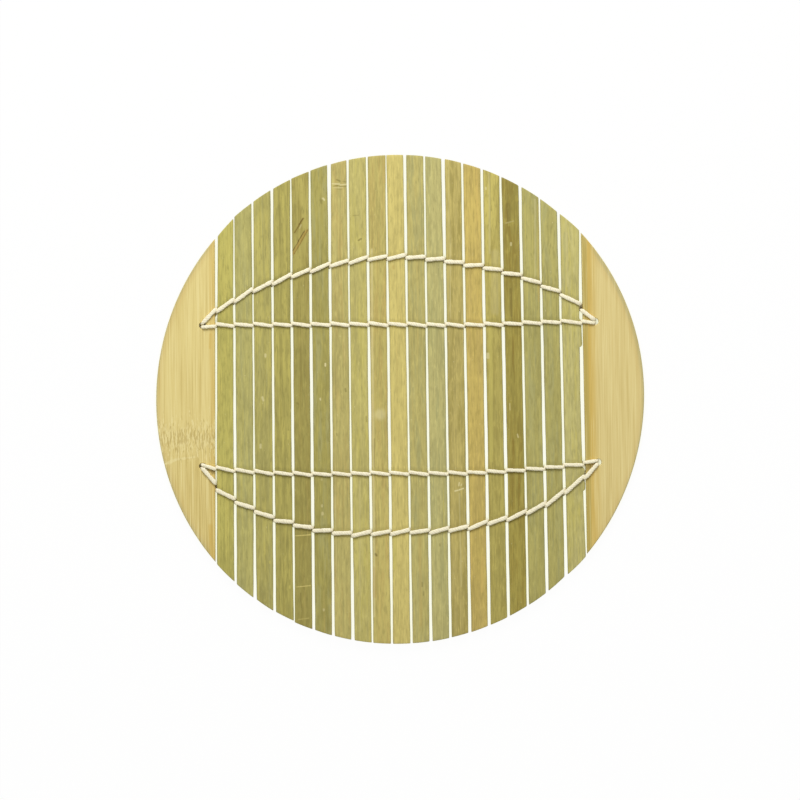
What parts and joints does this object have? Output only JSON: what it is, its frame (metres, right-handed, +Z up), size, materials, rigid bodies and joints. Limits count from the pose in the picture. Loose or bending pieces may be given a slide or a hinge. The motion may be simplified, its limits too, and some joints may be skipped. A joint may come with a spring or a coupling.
{
  "type": "bamboo steamer mat",
  "caption": "Round roll-up mat of narrow bamboo slats between two end boards, laced with twined cotton string, to line a steamer basket.",
  "frame": {"origin": "centre of the round outline, on the surface that the flat mat lies on", "axes": "+X across the slats towards the right end board, +Y along the slats towards the upper lacing rows, +Z up out of the skin side"},
  "size_m": [0.203, 0.203, 0.005],
  "materials": {
    "bamboo_skin": "split bamboo with its dried green skin, satin",
    "bamboo_inner": "planed inner bamboo, matt",
    "cotton_string": "twisted cotton string, matt"
  },
  "bodies": {
    "slat_10": {"slat_10": "bamboo_skin", "upper_bow_strand_a": "cotton_string", "upper_bow_strand_b": "cotton_string", "upper_straight_strand_a": "cotton_string", "upper_straight_strand_b": "cotton_string", "lower_straight_strand_a": "cotton_string", "lower_straight_strand_b": "cotton_string", "lower_bow_strand_a": "cotton_string", "lower_bow_strand_b": "cotton_string"},
    "left_end_board": {"left_end_board": "bamboo_inner", "upper_left_knot": "cotton_string", "lower_left_knot": "cotton_string"},
    "slat_01": {"slat_01": "bamboo_skin"},
    "slat_02": {"slat_02": "bamboo_skin"},
    "slat_03": {"slat_03": "bamboo_skin"},
    "slat_04": {"slat_04": "bamboo_skin"},
    "slat_05": {"slat_05": "bamboo_skin"},
    "slat_06": {"slat_06": "bamboo_skin"},
    "slat_07": {"slat_07": "bamboo_skin"},
    "slat_08": {"slat_08": "bamboo_skin"},
    "slat_09": {"slat_09": "bamboo_skin"},
    "slat_11": {"slat_11": "bamboo_skin"},
    "slat_12": {"slat_12": "bamboo_skin"},
    "slat_13": {"slat_13": "bamboo_skin"},
    "slat_14": {"slat_14": "bamboo_skin"},
    "slat_15": {"slat_15": "bamboo_skin"},
    "slat_16": {"slat_16": "bamboo_skin"},
    "slat_17": {"slat_17": "bamboo_skin"},
    "slat_18": {"slat_18": "bamboo_skin"},
    "slat_19": {"slat_19": "bamboo_skin"},
    "right_end_board": {"right_end_board": "bamboo_inner", "upper_right_knot": "cotton_string", "lower_right_knot": "cotton_string"}
  },
  "joints": [
    {"name": "gap_01_hinge", "type": "hinge", "parent": "slat_01", "child": "left_end_board", "pos_m": [-0.07602, 0, 0.00262], "axis": [0.009, 1, 0], "range_deg": [-14, 14], "deforming": ["upper_bow_strand_a", "upper_bow_strand_b", "upper_straight_strand_a", "upper_straight_strand_b", "lower_straight_strand_a", "lower_straight_strand_b", "lower_bow_strand_a", "lower_bow_strand_b"]},
    {"name": "gap_02_hinge", "type": "hinge", "parent": "slat_02", "child": "slat_01", "pos_m": [-0.06795, 0, 0.00262], "axis": [0.0083, 1, 0], "range_deg": [-14, 14], "deforming": ["upper_bow_strand_a", "upper_bow_strand_b", "upper_straight_strand_a", "upper_straight_strand_b", "lower_straight_strand_a", "lower_straight_strand_b", "lower_bow_strand_a", "lower_bow_strand_b"]},
    {"name": "gap_03_hinge", "type": "hinge", "parent": "slat_03", "child": "slat_02", "pos_m": [-0.06005, 0, 0.00262], "axis": [0.0064, 1, 0], "range_deg": [-14, 14], "deforming": ["upper_bow_strand_a", "upper_bow_strand_b", "upper_straight_strand_a", "upper_straight_strand_b", "lower_straight_strand_a", "lower_straight_strand_b", "lower_bow_strand_a", "lower_bow_strand_b"]},
    {"name": "gap_04_hinge", "type": "hinge", "parent": "slat_04", "child": "slat_03", "pos_m": [-0.05197, 0, 0.00262], "axis": [0.0062, 1, 0], "range_deg": [-14, 14], "deforming": ["upper_bow_strand_a", "upper_bow_strand_b", "upper_straight_strand_a", "upper_straight_strand_b", "lower_straight_strand_a", "lower_straight_strand_b", "lower_bow_strand_a", "lower_bow_strand_b"]},
    {"name": "gap_05_hinge", "type": "hinge", "parent": "slat_05", "child": "slat_04", "pos_m": [-0.04399, 0, 0.00262], "axis": [0.0052, 1, 0], "range_deg": [-14, 14], "deforming": ["upper_bow_strand_a", "upper_bow_strand_b", "upper_straight_strand_a", "upper_straight_strand_b", "lower_straight_strand_a", "lower_straight_strand_b", "lower_bow_strand_a", "lower_bow_strand_b"]},
    {"name": "gap_06_hinge", "type": "hinge", "parent": "slat_06", "child": "slat_05", "pos_m": [-0.03605, 0, 0.00262], "axis": [0.0037, 1, 0], "range_deg": [-14, 14], "deforming": ["upper_bow_strand_a", "upper_bow_strand_b", "upper_straight_strand_a", "upper_straight_strand_b", "lower_straight_strand_a", "lower_straight_strand_b", "lower_bow_strand_a", "lower_bow_strand_b"]},
    {"name": "gap_07_hinge", "type": "hinge", "parent": "slat_07", "child": "slat_06", "pos_m": [-0.02794, 0, 0.00262], "axis": [0.0037, 1, 0], "range_deg": [-14, 14], "deforming": ["upper_bow_strand_a", "upper_bow_strand_b", "upper_straight_strand_a", "upper_straight_strand_b", "lower_straight_strand_a", "lower_straight_strand_b", "lower_bow_strand_a", "lower_bow_strand_b"]},
    {"name": "gap_08_hinge", "type": "hinge", "parent": "slat_08", "child": "slat_07", "pos_m": [-0.02004, 0, 0.00262], "axis": [0.002, 1, 0], "range_deg": [-14, 14], "deforming": ["upper_bow_strand_a", "upper_bow_strand_b", "upper_straight_strand_a", "upper_straight_strand_b", "lower_straight_strand_a", "lower_straight_strand_b", "lower_bow_strand_a", "lower_bow_strand_b"]},
    {"name": "gap_09_hinge", "type": "hinge", "parent": "slat_09", "child": "slat_08", "pos_m": [-0.012, 0, 0.00262], "axis": [0.0014, 1, 0], "range_deg": [-14, 14], "deforming": ["upper_bow_strand_a", "upper_bow_strand_b", "upper_straight_strand_a", "upper_straight_strand_b", "lower_straight_strand_a", "lower_straight_strand_b", "lower_bow_strand_a", "lower_bow_strand_b"]},
    {"name": "gap_10_hinge", "type": "hinge", "parent": "slat_10", "child": "slat_09", "pos_m": [-0.00396, 0, 0.00262], "axis": [0.0008, 1, 0], "range_deg": [-14, 14], "deforming": ["upper_bow_strand_a", "upper_bow_strand_b", "upper_straight_strand_a", "upper_straight_strand_b", "lower_straight_strand_a", "lower_straight_strand_b", "lower_bow_strand_a", "lower_bow_strand_b"]},
    {"name": "gap_11_hinge", "type": "hinge", "parent": "slat_10", "child": "slat_11", "pos_m": [0.00394, 0, 0.00262], "axis": [0.001, -1, 0], "range_deg": [-14, 14], "deforming": ["upper_bow_strand_a", "upper_bow_strand_b", "upper_straight_strand_a", "upper_straight_strand_b", "lower_straight_strand_a", "lower_straight_strand_b", "lower_bow_strand_a", "lower_bow_strand_b"]},
    {"name": "gap_12_hinge", "type": "hinge", "parent": "slat_11", "child": "slat_12", "pos_m": [0.01204, 0, 0.00262], "axis": [0.001, -1, 0], "range_deg": [-14, 14], "deforming": ["upper_bow_strand_a", "upper_bow_strand_b", "upper_straight_strand_a", "upper_straight_strand_b", "lower_straight_strand_a", "lower_straight_strand_b", "lower_bow_strand_a", "lower_bow_strand_b"]},
    {"name": "gap_13_hinge", "type": "hinge", "parent": "slat_12", "child": "slat_13", "pos_m": [0.01999, 0, 0.00262], "axis": [0.0024, -1, 0], "range_deg": [-14, 14], "deforming": ["upper_bow_strand_a", "upper_bow_strand_b", "upper_straight_strand_a", "upper_straight_strand_b", "lower_straight_strand_a", "lower_straight_strand_b", "lower_bow_strand_a", "lower_bow_strand_b"]},
    {"name": "gap_14_hinge", "type": "hinge", "parent": "slat_13", "child": "slat_14", "pos_m": [0.02797, 0, 0.00262], "axis": [0.0035, -1, 0], "range_deg": [-14, 14], "deforming": ["upper_bow_strand_a", "upper_bow_strand_b", "upper_straight_strand_a", "upper_straight_strand_b", "lower_straight_strand_a", "lower_straight_strand_b", "lower_bow_strand_a", "lower_bow_strand_b"]},
    {"name": "gap_15_hinge", "type": "hinge", "parent": "slat_14", "child": "slat_15", "pos_m": [0.03605, 0, 0.00262], "axis": [0.0036, -1, 0], "range_deg": [-14, 14], "deforming": ["upper_bow_strand_a", "upper_bow_strand_b", "upper_straight_strand_a", "upper_straight_strand_b", "lower_straight_strand_a", "lower_straight_strand_b", "lower_bow_strand_a", "lower_bow_strand_b"]},
    {"name": "gap_16_hinge", "type": "hinge", "parent": "slat_15", "child": "slat_16", "pos_m": [0.04395, 0, 0.00262], "axis": [0.0055, -1, 0], "range_deg": [-14, 14], "deforming": ["upper_bow_strand_a", "upper_bow_strand_b", "upper_straight_strand_a", "upper_straight_strand_b", "lower_straight_strand_a", "lower_straight_strand_b", "lower_bow_strand_a", "lower_bow_strand_b"]},
    {"name": "gap_17_hinge", "type": "hinge", "parent": "slat_16", "child": "slat_17", "pos_m": [0.05202, 0, 0.00262], "axis": [0.0058, -1, 0], "range_deg": [-14, 14], "deforming": ["upper_bow_strand_a", "upper_bow_strand_b", "upper_straight_strand_a", "upper_straight_strand_b", "lower_straight_strand_a", "lower_straight_strand_b", "lower_bow_strand_a", "lower_bow_strand_b"]},
    {"name": "gap_18_hinge", "type": "hinge", "parent": "slat_17", "child": "slat_18", "pos_m": [0.06002, 0, 0.00262], "axis": [0.0067, -1, 0], "range_deg": [-14, 14], "deforming": ["upper_bow_strand_a", "upper_bow_strand_b", "upper_straight_strand_a", "upper_straight_strand_b", "lower_straight_strand_a", "lower_straight_strand_b", "lower_bow_strand_a", "lower_bow_strand_b"]},
    {"name": "gap_19_hinge", "type": "hinge", "parent": "slat_18", "child": "slat_19", "pos_m": [0.06795, 0, 0.00262], "axis": [0.0083, -1, 0], "range_deg": [-14, 14], "deforming": ["upper_bow_strand_a", "upper_bow_strand_b", "upper_straight_strand_a", "upper_straight_strand_b", "lower_straight_strand_a", "lower_straight_strand_b", "lower_bow_strand_a", "lower_bow_strand_b"]},
    {"name": "gap_20_hinge", "type": "hinge", "parent": "slat_19", "child": "right_end_board", "pos_m": [0.07603, 0, 0.00262], "axis": [0.0085, -1, 0], "range_deg": [-14, 14], "deforming": ["upper_bow_strand_a", "upper_bow_strand_b", "upper_straight_strand_a", "upper_straight_strand_b", "lower_straight_strand_a", "lower_straight_strand_b", "lower_bow_strand_a", "lower_bow_strand_b"]}
  ]
}
